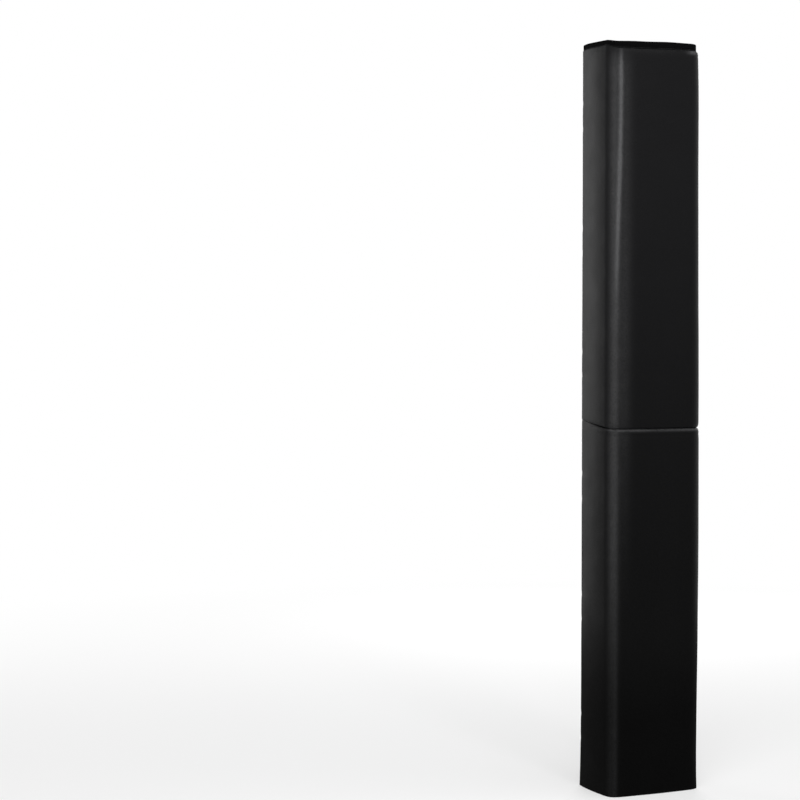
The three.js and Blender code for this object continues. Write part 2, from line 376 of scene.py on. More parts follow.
def fullness(along, z, side):
    """How far the foam pushes the skin out: a sum of bells and of decays up from the foot.

    The corners are squarer at the foot, and the skin is tucked in under the binding. The right
    corner bows out around the middle of the pad. The left wing flares at the foot, and a crease
    runs down beside the left corner from the top.
    """
    squarer = FOOT_SQUARENESS * np.exp(-z / FOOT_REACH) * bell(along, ALONG[MITRE], 14 * MM)
    tucked = TOP_TUCK * bell(z, sections["upper"][1], 9 * MM)
    if side > 0:
        bow = sum(reach * bell(z, height, spread) for reach, height, spread in RIGHT_BOWS)
        bow = bow * bell(along, ALONG[MITRE] + 10 * MM, 50 * MM)
        return squarer + bow - tucked * (1 - smooth(along / ALONG[MITRE]))
    on_wing = smooth((along - WING_START) / (OUTER_LENGTH - WING_START))
    on_edge = 1 - smooth((along - OUTER_LENGTH) / (12 * MM))
    flare = WING_FLARE * np.exp(-z / WING_FLARE_REACH) * on_wing * on_edge
    crease = bell(along, crease_at(z), CREASE_HALF) * smooth((z - CREASE_FOOT) / 0.3)
    return squarer + flare + CREASE_DEPTH * crease - tucked * (1 - on_wing)


CLOTH_STEP = 9 * MM
CLOTH_FRAMES = 14
CLOTH_HOLD = 0.15
CLOTH_SETTINGS = {
    "quality": 5, "mass": 0.3, "vertex_group_mass": "held", "pin_stiffness": 1.0,
    "tension_stiffness": 25, "compression_stiffness": 25, "shear_stiffness": 10,
    "bending_stiffness": 20, "shrink_min": -0.002,
    "use_pressure": True, "uniform_pressure_force": 1.0,
}
CLOTH_CAP = 0.4 * MM
CLOTH_EASE = 2.2 * MM


def settled_sheet(name):
    """The section's whole outer skin, simulated as one sheet of vinyl that lies on the foam.

    The sheet is cut a little larger than the foam, as the real cover is. It is held along its
    borders, lightly by the foam everywhere, and pushed out by pressure, so that the spare vinyl
    gathers in soft waves. Returns its heights, its signed distances from the front's middle and
    how far each point moved out, eased by the firm foam: cap * tanh(moved / ease).
    """
    low, high = sections[name]
    heights = np.linspace(low, high, int((high - low) / CLOTH_STEP) + 1)
    half = np.linspace(0, OUTER_LENGTH, int(OUTER_LENGTH / CLOTH_STEP) + 1)
    distances = np.r_[-half[:0:-1], half]
    side = np.where(distances < 0, -1, 1)[:, None] * [1, 0] + [0, 1]
    line, out = (side * sampled(abs(distances), ALONG, v) for v in (PLAN, PLAN_NORMALS))
    z, across = np.meshgrid(heights, distances, indexing="ij")
    seed = ripples(np.abs(across), z, np.sign(across), name)
    start = risen(line, heights)
    start[..., :2] += out[None] * seed[..., None]
    mesh = bpy.data.meshes.new("cover_sheet")
    mesh.from_pydata(start.reshape(-1, 3).tolist(), [], grid_faces(*z.shape, 0).tolist())
    sheet = placed("cover_sheet", mesh)
    index = np.arange(z.size).reshape(z.shape)
    held = sheet.vertex_groups.new(name="held")
    held.add(index.ravel().tolist(), 1.0, "REPLACE")
    held.add(index[1:-1, 1:-1].ravel().tolist(), CLOTH_HOLD, "REPLACE")
    cloth = sheet.modifiers.new("cloth", "CLOTH")
    for key, value in CLOTH_SETTINGS.items():
        setattr(cloth.settings, key, value)
    cloth.settings.effector_weights.gravity = 0
    cloth.point_cache.frame_end = CLOTH_FRAMES
    scene = bpy.context.scene
    for number in range(1, CLOTH_FRAMES + 1):
        scene.frame_set(number)
    settled = sheet.evaluated_get(bpy.context.evaluated_depsgraph_get()).to_mesh()
    points = np.zeros(start.size)
    settled.vertices.foreach_get("co", points)
    moved = ((points.reshape(start.shape) - start)[..., :2] * out[None]).sum(axis=2)
    bpy.data.objects.remove(sheet)
    bpy.data.meshes.remove(mesh)
    scene.frame_set(1)
    return heights, distances, CLOTH_CAP * np.tanh(moved / CLOTH_EASE)


def spline_weights(places, knots):
    """Rows of weights that carry values at even knots to other places, by Catmull-Rom curves."""
    at = np.clip((places - knots[0]) / (knots[1] - knots[0]), 0, len(knots) - 1.001)
    first = at.astype(int)
    t = at - first
    taps = [-t + 2 * t**2 - t**3, 2 - 5 * t**2 + 3 * t**3, t + 4 * t**2 - 3 * t**3, t**3 - t**2]
    weights = np.zeros((len(at), len(knots)))
    for k, tap in enumerate(taps):
        column = np.clip(first + k - 1, 0, len(knots) - 1)
        np.add.at(weights, (np.arange(len(at)), column), tap / 2)
    return weights


WING_SHOULDER = 0.1
TOP_SHOULDER, TOP_SHOULDER_REACH = 0.15, 0.6


def skin(plan, normals, along, z, inset, side, name):
    """Rings of the outer skin: each plan point moved out along its normal by the unevenness.

    The ring's inset comes off, and less and less of it towards the wing's rear edge. The upper
    section's top keeps its whole shoulder at the right corner alone.
    """
    z_grid, along_grid = np.meshgrid(z, along, indexing="ij")
    back = smooth((along_grid - WING_START) / (OUTER_LENGTH - WING_START))
    drawn = inset[:, None] * (1 - (1 - WING_SHOULDER) * back)
    if name == "upper":
        at_right = smooth(along / ALONG[MITRE] * 2.5 - 1.5)[None] if side > 0 else 0
        full = TOP_SHOULDER + (1 - TOP_SHOULDER) * at_right
        by_top = smooth((z_grid - fold_z) / TOP_SHOULDER_REACH)
        drawn = drawn * (1 - (1 - full) * by_top)
    settled = 1 - 0.8 * smooth((along_grid - OUTER_LENGTH) / (20 * MM))
    heights, distances, moved = sheets[name]
    moved = spline_weights(z, heights) @ moved @ spline_weights(side * along, distances).T
    uneven = ripples(along_grid, z_grid, side, name) * settled + moved
    move = uneven + fullness(along_grid, z_grid, side) - drawn
    xy = plan[None] + normals[None] * move[..., None]
    return np.dstack([xy, z_grid])


def painted_highlight_share(along, z, side, name):
    """How far a painted highlight greys the vinyl, from 0 to 1: on corners, crease and the seam's
    roll.

    The left corner has more of this painted highlight than the right, and both have less towards
    the foot. The crease's skirt fades further down than the crease itself. Under the binding there
    is little, except on the right corner's shoulder.
    """
    top = sections["upper"][1]
    # All of this share is a painted highlight: grey laid where sheen shows on the vinyl.
    highlit = 0.26 * bell(along, ALONG[MITRE] - 2 * MM, 13 * MM) * (1.0 if side < 0 else 0.25)
    highlit = highlit * (0.3 + 0.7 * smooth((z - 0.2) / 0.5))
    if side < 0:
        crease = 0.06 + 0.85 * smooth((z - 1.1) / 0.35)
        skirt = 0.17 * smooth((z - 0.35) / 0.9)
        highlit = highlit + crease * bell(along, crease_at(z), 5 * MM)
        highlit = highlit + skirt * bell(along, ALONG[FRONT_STEPS] - 2 * MM, 17 * MM)
    highlit = highlit * (0.25 + 0.75 * smooth((top - z) / (45 * MM)))
    if side > 0:
        spot = bell(along, ALONG[FRONT_STEPS] + 6 * MM, 15 * MM)
        highlit = highlit + 0.8 * spot * bell(top - z, 5 * MM, 4 * MM)
    if name == "lower":
        along_roll = 0.42 + 0.2 * bell(along, ALONG[MITRE], 30 * MM)
        roll = along_roll * bell(sections[name][1] - z, 3.5 * MM, 3.5 * MM)
        highlit = np.maximum(highlit, roll * (1 - smooth((along - ALONG[MITRE]) / (24 * MM))))
    return np.minimum(highlit, 1)


def risen(line, z):
    """Carries a line in plan up through all heights."""
    return np.stack(np.broadcast_arrays(*line.T, z[:, None]), axis=-1)


def half_patches(name, side):
    """The patches of one half of a section, as grids of points, on the right-hand side.

    They are the outer skin and rear edge, the channel's faces, the wall at the front's middle,
    both faces of the slit along the mitre, and the caps. A cap runs straight from skin to
    channel, bent at its two ends to meet its neighbours, and is crowned by a sine each way.
    Returns the painted highlight share of the first one's points too.
    """
    z, inset = section_levels(name)
    outer = skin(PLAN, PLAN_NORMALS, ALONG, z, inset, side, name)
    rubbed = painted_highlight_share(ALONG[None], z[:, None], side, name)
    rear = skin(REAR, REAR_NORMALS, REAR_ALONG, z, inset, side, name)
    rear[:, 0] = outer[:, -1]
    deep_x, deep_y = channel_x + LINER_SETBACK, channel_y - LINER_SETBACK
    diagonal = SLIT_HALF * math.sqrt(2)
    front_x = (deep_x - diagonal) * ALONG[: MITRE + 1] / ALONG[MITRE]
    inner_front = risen(np.c_[front_x, np.full(MITRE + 1, deep_y)], z)
    share = (ALONG[MITRE:] - ALONG[MITRE]) / (OUTER_LENGTH - ALONG[MITRE])
    inner_wing = risen(np.c_[np.full(len(share), deep_x), np.zeros(len(share))], z)
    wing_from = deep_y + diagonal
    inner_wing[..., 1] = wing_from + (rear[:, -1:, 1] - wing_from) * share[None]
    inner_wing[:, -1] = rear[:, -1]

    t = DEPTH_SHARES[None, :, None]
    wall = outer[:, :1] * (1 - t) + inner_front[:, :1] * t
    at_mitre = outer[:, MITRE][:, None]
    depth = DEPTH_SHARES.copy()
    depth[1] = SKIN_THICKNESS / (math.sqrt(2) * (hinge_x - deep_x))
    t_slit = depth[None, :, None]
    slit_front = at_mitre * (1 - t_slit) + inner_front[:, -1:] * t_slit
    slit_wing = at_mitre * (1 - t_slit) + inner_wing[:, :1] * t_slit
    slit_front[:, 1] = slit_wing[:, 1] = (slit_front[:, 1] + slit_wing[:, 1]) / 2

    patches = [outer, rear, inner_front, inner_wing, wall, slit_front[:, 1:], slit_wing[:, 1:]]
    for level, up in ((0, -1), (-1, 1)):
        for first, last, inner, ends in (
            (0, MITRE, inner_front, (wall, slit_front)),
            (MITRE, len(PLAN) - 1, inner_wing, (slit_wing, rear)),
        ):
            flat = outer[level, first : last + 1][:, None] * (1 - t) + inner[level][:, None] * t
            across = np.linspace(0, 1, last + 1 - first)[:, None, None]
            start = (ends[0][level] - flat[0])[None] * np.clip(1 - across * 6, 0, 1)
            finish = (ends[1][level] - flat[-1])[None] * across**3
            cap = flat + start + finish
            crown = np.sin(np.pi * DEPTH_SHARES) * np.sin(np.pi * across[..., 0]) ** 0.5
            puff = END_BULGE if name == "upper" or up > 0 else 0
            cap[..., 2] += up * puff * crown
            patches.append(cap)
    return patches, rubbed


def grid_faces(rows, columns, start):
    """Quads of a grid of points that is stored row by row from index start."""
    index = start + np.arange(rows * columns).reshape(rows, columns)
    corners = index[:-1, :-1], index[:-1, 1:], index[1:, 1:], index[1:, :-1]
    return np.stack(corners, axis=-1).reshape(-1, 4)


def mesh_object(name, patches, merge=0.02 * MM, sharp=math.radians(38), rubbed=None):
    """One closed mesh from grids of points: shared edges merged, faces turned outwards.

    Where the painted highlight share of the first grid is given, it becomes an attribute of the
    mesh.
    """
    points, faces, start = [], [], 0
    for patch in patches:
        points.append(patch.reshape(-1, 3))
        faces.append(grid_faces(*patch.shape[:2], start))
        start += len(points[-1])
    mesh = bpy.data.meshes.new(name)
    mesh.from_pydata(np.concatenate(points).tolist(), [], np.concatenate(faces).tolist())
    # The painted highlight share is kept on the points, for the vinyl's colour to read.
    if rubbed is not None:
        values = np.zeros(start, np.float32)
        values[: rubbed.size] = rubbed.ravel()
        mesh.attributes.new("rubbed", "FLOAT", "POINT").data.foreach_set("value", values)
    body = bmesh.new()
    body.from_mesh(mesh)
    bmesh.ops.remove_doubles(body, verts=body.verts, dist=merge)
    bmesh.ops.dissolve_degenerate(body, edges=body.edges, dist=merge / 2)
    bmesh.ops.recalc_face_normals(body, faces=body.faces)
    body.to_mesh(mesh)
    body.free()
    mesh.polygons.foreach_set("use_smooth", np.ones(len(mesh.polygons), bool))
    mesh.set_sharp_from_angle(angle=sharp)
    return placed(name, mesh)


def linear(hex_colour):
    """An sRGB hex colour as the linear colour that the shaders take."""
    parts = [int(hex_colour[i : i + 2], 16) / 255 for i in (1, 3, 5)]
    parts = [c / 12.92 if c <= 0.04045 else ((c + 0.055) / 1.055) ** 2.4 for c in parts]
    return (*parts, 1)


def wire(item, inputs):
    """Gives a node's inputs values or outputs. A node there stands for its first output."""
    for key, value in inputs.items():
        if isinstance(value, bpy.types.Node):
            value = value.outputs[0]
        if isinstance(value, bpy.types.NodeSocket):
            item.id_data.links.new(value, item.inputs[key])
        else:
            item.inputs[key].default_value = value


def node(tree, kind, numbered=(), **named):
    """Adds a shader node. What is named goes to the input or else the property of that name.

    Inputs whose names repeat are given by number.
    """
    made = tree.nodes.new(f"ShaderNode{kind}")
    inputs = dict(numbered)
    for key, value in named.items():
        label = key.replace("_", " ")
        if label in made.inputs:
            inputs[label] = value
        else:
            setattr(made, key, value)
    wire(made, inputs)
    return made


def new_material(name, colour, roughness, gloss):
    """A material with a Principled shader. Returns the material, its tree and the shader."""
    material = bpy.data.materials.new(name)
    material.use_nodes = True
    tree = material.node_tree
    shader = tree.nodes["Principled BSDF"]
    look = {"Base Color": linear(colour), "Roughness": roughness, "Specular IOR Level": gloss}
    wire(shader, look)
    return material, tree, shader


GRAIN = 2 * MM


def coated_vinyl():
    """Vinyl-coated polyester, calendered and embossed: a fine pebbled grain under a soft sheen.

    The grain is really about 0.7 mm; it is drawn at 2 mm so that it shows. A painted highlight
    greys the black on the pebbles' tops along the corners, the crease and the seam's roll,
    unevenly, and painted shade leaves the black darker towards the foot and lighter higher up.
    """
    material, tree, shader = new_material("black_coated_vinyl", "#050506", 0.4, 0.05)
    place = node(tree, "TexCoord").outputs["Object"]
    height = node(tree, "SeparateXYZ", Vector=place).outputs["Z"]
    cells = node(tree, "TexVoronoi", Scale=1 / GRAIN, Vector=place)
    cloud = node(tree, "TexNoise", Scale=1 / (90 * MM), Detail=3, Vector=place)
    highlight_blotches = node(tree, "TexNoise", Scale=1 / (30 * MM), Detail=4, Vector=place)
    rough = node(
        tree, "MapRange", From_Min=0.3, From_Max=0.7, To_Min=0.35, To_Max=0.41, Value=cloud
    )
    duller = node(
        tree, "MapRange", interpolation_type="SMOOTHSTEP",
        From_Min=0.15, From_Max=0.55, To_Min=0.55, To_Max=0.0, Value=height,
    )
    roughness = node(tree, "Math", {0: rough, 1: duller}, operation="ADD")
    # Painted shade: the vinyl's black runs from darker at the foot to lighter higher up.
    painted_top_light = node(
        tree, "MapRange", interpolation_type="SMOOTHSTEP", From_Min=0.1, From_Max=1.7, Value=height
    )
    cover = node(
        tree, "Mix", {0: painted_top_light, 6: linear("#030303"), 7: linear("#101011")}, data_type="RGBA"
    )
    patchy = node(
        tree, "MapRange", From_Min=0.25, From_Max=0.75, To_Min=0.8, To_Max=1.15, Value=highlight_blotches
    )
    pebbles = node(
        tree, "MapRange", From_Min=0.15, From_Max=0.75, To_Min=1.5, To_Max=0.6, Value=cells
    )
    # Painted highlight: the black is mixed towards grey by the share, in blotches, on the pebbles'
    # tops.
    rubbed = node(tree, "Attribute", attribute_name="rubbed").outputs["Fac"]
    share = node(tree, "Math", {0: rubbed, 1: patchy}, operation="MULTIPLY")
    on_tops = node(tree, "Math", {0: share, 1: pebbles}, operation="MULTIPLY")
    highlit = node(
        tree, "Mix", {0: on_tops, 6: cover.outputs[2], 7: linear("#4a4a4b")}, data_type="RGBA"
    )
    bump = node(tree, "Bump", Strength=0.7, Distance=0.35 * MM, invert=True, Height=cells)
    wire(shader, {"Roughness": roughness, "Base Color": highlit.outputs[2], "Normal": bump})
    return material


vinyl = coated_vinyl()
sheets = {name: settled_sheet(name) for name in sections}


def blend_over_mitre(piece):
    """Bakes a piece's placement into its mesh."""
    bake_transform(piece)


def dress(piece, material, body=None, stands_for=()):
    """Gives a piece its material, the nodes it replaces and a body to ride on, if any."""
    piece.data.materials.append(material)
    if stands_for:
        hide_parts(*stands_for)
    if body:
        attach(piece, body)


for section in sections:
    for side, hand in SIDES:
        patches, rubbed = half_patches(section, side)
        patches = [slanted(patch * [side, 1, 1]) for patch in patches]
        half = mesh_object(f"{section}_padding_{hand}_half", patches, rubbed=rubbed)
        panels = (f"{section}_front", f"{section}_{hand}_wing")
        nodes = [f"{panel}_{layer}" for panel in panels for layer in ("cover", "foam")]
        dress(half, vinyl, stands_for=nodes)
        blend_over_mitre(half)


# Liners
# The channel side is lined with a lighter, duller vinyl, one sheet a panel, turned in along the
# mitre so that the foam is closed off when a wing opens.
LINER_END = 1.6 * MM
LINER_RINGS = 90
LINER_STEP = 6 * MM
FLANGE_GAP = 0.15 * MM


def leftward(line):
    """Unit vectors to the left of a line of points: its direction, turned by a right angle."""
    ahead = np.gradient(line, axis=0)
    ahead /= np.linalg.norm(ahead, axis=1)[:, None]
    return np.c_[-ahead[:, 1], ahead[:, 0]]


def shell(first, second):
    """Two grids of points, closed into a shell by the four strips between their borders."""
    ends = [np.stack([first[:, i], second[:, i]], axis=1) for i in (0, -1)]
    rims = [np.stack([first[i], second[i]], axis=1) for i in (0, -1)]
    return [first, second, *ends, *rims]


def band_patches(line, thickness, z):
    """A sheet that follows a line in plan, given a thickness to its left, through heights z."""
    sides = shell(risen(line, z), risen(line + leftward(line) * thickness, z))
    return [slanted(patch) for patch in sides]


def filled(corners, step):
    """Points along a bent line, no further apart than step, with its corners kept."""
    pieces = []
    for a, b in zip(corners[:-1], corners[1:]):
        count = max(2, int(np.ceil(np.linalg.norm(np.subtract(b, a)) / step)) + 1)
        pieces.append(np.linspace(a, b, count)[:-1])
    return np.concatenate(pieces + [np.array(corners[-1:])])


def grained(name, colour, roughness, gloss, pattern, strength, depth, **settings):
    """A material of one colour whose surface stands up and down with a pattern."""
    material, tree, shader = new_material(name, colour, roughness, gloss)
    place = node(tree, "TexCoord").outputs["Object"]
    texture = node(tree, pattern, Vector=place, **settings)
    height = texture.outputs["Distance" if "Distance" in texture.outputs else "Fac"]
    bump = node(tree, "Bump", Strength=strength, Distance=depth, Height=height)
    wire(shader, {"Normal": bump})
    return material


# Light backing vinyl, matt side out: a faint open grain and almost no sheen.
lining = grained(
    "backing_vinyl", "#1b1b1d", 0.62, 0.12, "TexNoise", 0.3, 0.1 * MM,
    Scale=1 / (1.4 * MM), Detail=4,
)
tip = (SKIN_THICKNESS + 1 * MM) / math.sqrt(2)
tip_x, tip_y = hinge_x - tip, hinge_y + tip
flange_step = FLANGE_GAP * math.sqrt(2)

for section, (low, high) in sections.items():
    heights = np.linspace(low + LINER_END, high - LINER_END, LINER_RINGS)
    front_corners = [
        (-tip_x + flange_step, tip_y), (-channel_x + flange_step, channel_y),
        (channel_x - flange_step, channel_y), (tip_x - flange_step, tip_y),
    ]
    sheets_cut = [("front", "front", front_corners, -1)]
    for side, hand in SIDES:
        wing_corners = [
            (side * tip_x, tip_y + flange_step), (side * channel_x, channel_y + flange_step),
            (side * channel_x, REAR[-1, 1] - 2 * MM),
        ]
        sheets_cut.append((hand, f"{hand}_wing", wing_corners, -side))
    for label, panel, corners, turn in sheets_cut:
        line = filled(corners, LINER_STEP)
        patches = band_patches(line, turn * LINER_THICKNESS, heights)
        liner = mesh_object(f"{section}_{label}_channel_liner", patches)
        dress(liner, lining, f"{section}_{panel}", [f"{section}_{panel}_liner"])


# Top binding
# A matt black webbing folded over the raw edge that stands up round the top seam. It runs along
# the front and both wings, set in from the vinyl's face.
BINDING_INSET = 3.5 * MM
BINDING_CORNER_INSET = {-1: 3.5 * MM, 1: 6.5 * MM}
BINDING_REAR_INSET = 1.5 * MM
BINDING_SINK = 1.5 * MM
BINDING_THICKNESS = 4 * MM
BINDING_TOP = (-2.8 * MM, 3.6 * MM, 4.5 * MM, 1.4 * MM)
BINDING_STEPS = 33
binding_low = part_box("top_binding_front")[0][2] - TOP_DROP
binding_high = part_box("top_binding_front")[1][2]


def binding_ring(share):
    """A rounded box, from -1 to 1 each way, at a share of the way round: powers of sines."""
    turn = 2 * np.pi * share
    return [np.sign(wave) * np.abs(wave) ** 0.35 for wave in (np.cos(turn), np.sin(turn))]


BINDING_LINE = np.r_[PLAN, REAR[1:]]
BINDING_NORMALS = np.r_[PLAN_NORMALS, REAR_NORMALS[1:]]


def binding_tube(side, shares):
    """The folded webbing carried along the skin's plan line, from the front's middle back.

    The shares say which points of its section are wanted. It nears the skin's face along the
    wing and dips at the corner. Its lower edge follows the padding's top, its upper edge less.
    """
    line, normals = BINDING_LINE, BINDING_NORMALS
    along = np.r_[ALONG, REAR_ALONG[1:]]
    across, up = binding_ring(shares)
    back = smooth((along - WING_START) / (OUTER_LENGTH - WING_START))
    corner_inset = BINDING_CORNER_INSET[side]
    inset = BINDING_INSET + (corner_inset - BINDING_INSET) * smooth(along / ALONG[MITRE])
    inset = inset + (BINDING_REAR_INSET - corner_inset) * back
    middle = line - normals * (inset + BINDING_THICKNESS / 2)[:, None]
    reach = BINDING_THICKNESS / 2 * (1 + 0.12 * np.sin(along / (3.1 * MM)))
    xy = middle[:, None] + normals[:, None] * (across[None] * reach[:, None])[..., None]
    wave = 0.4 * MM * np.sin(side * along / 0.019) * np.sin(along / 0.043 + 1)
    wave = wave - 1.6 * MM * bell(along, ALONG[MITRE], 45 * MM)
    wave = wave + (3.0 if side < 0 else 1.0) * MM * back
    higher = (1 + up[None]) / 2
    z = binding_low + (binding_high - binding_low) * higher
    z = z + wave[:, None] * higher - BINDING_SINK * (1 - higher)
    tube = np.dstack([xy, z]) * [side, 1, 1]
    low, high = top_rise(tube, PADDING_TOP), top_rise(tube, BINDING_TOP)
    tube[..., 2] += low + (high - low) * higher
    return tube


def binding_patches(side):
    """The whole folded webbing of one half, with its ends closed by a fan to their middle."""
    tube = binding_tube(side, np.linspace(0, 1, BINDING_STEPS))
    ends = [np.stack([ring, ring * 0 + ring[:-1].mean(axis=0)]) for ring in (tube[0], tube[-1])]
    return [tube, *ends]


def webbing_cloth(name, colour, light_colour):
    """Woven polypropylene webbing: crossed ribs at the thread pitch, dull and a little uneven.

    The weave is the product of a sine across the webbing and one along its height.
    """
    material, tree, shader = new_material(name, colour, 0.9, 0.02)
    place = node(tree, "TexCoord").outputs["Object"]
    parts = node(tree, "SeparateXYZ", Vector=place).outputs
    both = node(tree, "Math", {0: parts["X"], 1: parts["Y"]}, operation="ADD")
    waves = []
    for distance, pitch in ((both, RIB_PITCH), (parts["Z"], 0.55 * RIB_PITCH)):
        turns = node(tree, "Math", {0: distance, 1: 2 * math.pi / pitch}, operation="MULTIPLY")
        waves.append(node(tree, "Math", {0: turns}, operation="SINE"))
    weave = node(tree, "Math", {0: waves[0], 1: waves[1]}, operation="MULTIPLY")
    bump = node(tree, "Bump", Strength=0.8, Distance=0.3 * MM, Height=weave)
    share = node(tree, "MapRange", From_Min=-1.0, From_Max=1.0, Value=weave)
    mix = node(
        tree, "Mix", {0: share, 6: linear(colour), 7: linear(light_colour)}, data_type="RGBA"
    )
    wire(shader, {"Normal": bump, "Base Color": mix.outputs[2]})
    return material


RIB_PITCH = 3.2 * MM
binding_webbing = webbing_cloth("binding_webbing", "#030303", "#0b0b0c")
STITCH_PITCH = 5 * MM
THREAD_RADIUS = 0.45 * MM
THREAD_SHARP = math.radians(75)


def stitches(path, out, pitch=STITCH_PITCH):
    """A row of stitches along a path, each a spindle from one needle hole to the next.

    A spindle's rings have 0, 1, 1 and 0 times the thread's radius, at a tenth, three tenths,
    seven tenths and nine tenths of the pitch. The thread is drawn at twice its real thickness.
    """
    along = lengths_along(path)
    count = max(int(along[-1] / pitch), 1)
    places = (np.arange(count)[:, None] + [0.1, 0.3, 0.7, 0.9]) * along[-1] / count
    middle = sampled(places, along, path)
    up = sampled(places[:, 1], along, out)
    up /= np.linalg.norm(up, axis=1)[:, None]
    beside = np.cross(middle[:, 3] - middle[:, 0], up)
    beside /= np.linalg.norm(beside, axis=1)[:, None]
    turn = np.linspace(0, 2 * np.pi, 7)
    ring = np.cos(turn)[:, None] * up[:, None] + np.sin(turn)[:, None] * beside[:, None]
    radii = THREAD_RADIUS * np.array([0, 1, 1, 0])
    return list(middle[:, :, None] + radii[None, :, None, None] * ring[:, None])


def sewing_thread(name, colour):
    """Bonded polyester thread: two plies twisted hard, smooth enough to catch small lights."""
    return grained(
        name, colour, 0.5, 0.15, "TexWave", 0.5, 0.15 * MM,
        Scale=0.3 / MM, bands_direction="DIAGONAL",
    )


thread = sewing_thread("bonded_polyester_thread", "#161617")

for side, hand in SIDES:
    binding = mesh_object(f"top_binding_{hand}_half", binding_patches(side))
    nodes = ["top_binding_front", f"top_binding_{hand}_wing"]
    dress(binding, binding_webbing, stands_for=nodes)
    blend_over_mitre(binding)

    rows = []
    for share, facing_out in ((-0.037, 1), (0.537, -1)):
        row = binding_tube(side, np.array([share]))[:, 0]
        out = np.c_[BINDING_NORMALS * [side, 1], np.zeros(len(row))] * facing_out
        rows += stitches(row, out)
    sewing = mesh_object(f"top_binding_{hand}_stitches", rows, sharp=THREAD_SHARP)
    dress(sewing, thread)
    blend_over_mitre(sewing)


# Rear edge sewing
# The cover is closed along the back of each wing by a row of lockstitches in black thread. The
# row stops at each strap, where the webbing is sewn over it.
REAR_ROW_INSET = 9 * MM
REAR_ROW_END = 12 * MM


def rear_row(name, side, start, end):
    """The row's line up the wing's rear face between two heights, and the way out from it."""
    z = np.arange(start, end, 2 * MM)
    heights, insets = section_levels(name)
    at = REAR_ALONG[-1:] - REAR_ROW_INSET
    point, normal = (sampled(at, REAR_ALONG, values) for values in (REAR, REAR_NORMALS))
    line = skin(point, normal, at, z, np.interp(z, heights, insets), side, name)[:, 0]
    out = [side * normal[0, 0], normal[0, 1], 0]
    return slanted(line * [side, 1, 1]), np.tile(out, (len(z), 1))


for section, (low, high) in sections.items():
    covered = [(below[2], above[2]) for below, above in strap_boxes.values()]
    covered = [span for span in covered if low < span[0] < high]
    starts = [low + REAR_ROW_END, *(span[1] for span in covered)]
    ends = [*(span[0] for span in covered), high - REAR_ROW_END]
    for side, hand in SIDES:
        rows = []
        for start, end in zip(starts, ends):
            rows += stitches(*rear_row(section, side, start, end))
        sewing = mesh_object(f"{section}_{hand}_rear_stitches", rows, sharp=THREAD_SHARP)
        dress(sewing, thread, f"{section}_{hand}_wing")


# Seam hinge tape
# A strip of vinyl folded into the seam between the sections and sewn to both, along the front.
# It opens out when the upper section folds forward.
TAPE_THICKNESS = 0.8 * MM
TAPE_FOLD = 9 * MM
(_, tape_front, tape_low), (_, _, tape_high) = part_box("seam_hinge_tape")


def tape_patches():
    """A fold carried along the seam: in section half a flattened ring, from lip in to lip.

    Its depth is a power of the cosine and its height the sine of the same angle.
    """
    x = np.linspace(-corner_x, corner_x, 81)
    turn = np.linspace(-np.pi / 2, np.pi / 2, 17)
    reach = (tape_high - tape_low) / 2
    outer = np.c_[tape_front + TAPE_FOLD * np.cos(turn) ** 0.6, fold_z + reach * np.sin(turn)]
    inner = outer + leftward(outer) * TAPE_THICKNESS
    inner[:, 1] = fold_z + (outer[:, 1] - fold_z) * (1 - TAPE_THICKNESS / reach)
    sides = [np.stack(np.broadcast_arrays(x[:, None], *line.T), axis=-1) for line in (outer, inner)]
    return [slanted(patch) for patch in shell(*sides)]


tape = mesh_object("seam_fold_tape", tape_patches())
dress(tape, lining, stands_for=["seam_hinge_tape"])
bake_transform(tape)


# Closing straps
# Flat polypropylene webbing. Each strap is sewn to the left wing's rear edge at its anchor tab
# and crosses the channel to a patch of loop on the right wing, where its hook tape grips.
STRAP_BEND = 20 * MM
STRAP_THICKNESS = 2 * MM
STRAP_CLIP = 6 * MM
HOOK_THICKNESS = 1 * MM
HOOK_MARGIN = 2 * MM
LOOP_THICKNESS = 1.5 * MM
FIT = 0.3 * MM
HOOK_LIFT = FIT + LOOP_THICKNESS + FIT
STRAP_LIFT = HOOK_LIFT + HOOK_THICKNESS + FIT
STRAP_STITCH_PITCH = 3.6 * MM
SEW_MARGIN = 4 * MM
strap_root = joints["strap_1_hinge"]["pos_m"][0]
strap_end = strap_boxes[1][1][0]
closure_from, closure_to = (corner[0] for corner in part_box("strap_1_hook_tape"))
anchor_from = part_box("strap_1_anchor_tab")[0][0]


def rear_at(x, lift=FIT):
    """The y of an arc about the wing's hinge line, lift outside the wing's rear edge."""
    return hinge_y + np.sqrt((rear_radius + lift) ** 2 - (np.abs(x) - hinge_x) ** 2)


def strap_line(x):
    """Level across the channel, then easing up to follow the right wing's rear edge."""
    level = rear_at(strap_root)
    edge = rear_at(np.maximum(x, channel_x), STRAP_LIFT)
    return level + (edge - level) * smooth((x - closure_from + STRAP_BEND) / STRAP_BEND)


def webbing_band(line, thickness, low, high, clip=0.0):
    """A strip of webbing behind a line in plan. Its long edges thin out and its tip is clipped."""
    v = np.linspace(-1, 1, 13)
    out = leftward(line)
    half = thickness / 2 * (1 - np.abs(v) ** 8 * 0.55)[:, None, None]
    narrow = np.maximum(clip - (line[-1, 0] - line[:, 0]), 0)
    z = (low + high) / 2 + v[:, None] * ((high - low) / 2 - narrow)[None]
    middle = line + out * thickness / 2
    return shell(*(np.dstack([middle + sign * out * half, z]) for sign in (-1, 1)))


def sewn_shape(corners, place, lift):
    """Stitches along straight runs between corners (x, z) on a band that follows place(x)."""
    rows = []
    for first, last in zip(corners[:-1], corners[1:]):
        flat = np.linspace(first, last, 24)
        y = place(flat[:, 0]) + lift
        slope = (place(flat[:, 0] + 0.1 * MM) - place(flat[:, 0] - 0.1 * MM)) / (0.2 * MM)
        out = np.c_[-slope, np.ones(24), np.zeros(24)]
        rows += stitches(np.c_[flat[:, 0], y, flat[:, 1]], out, pitch=STRAP_STITCH_PITCH)
    return rows


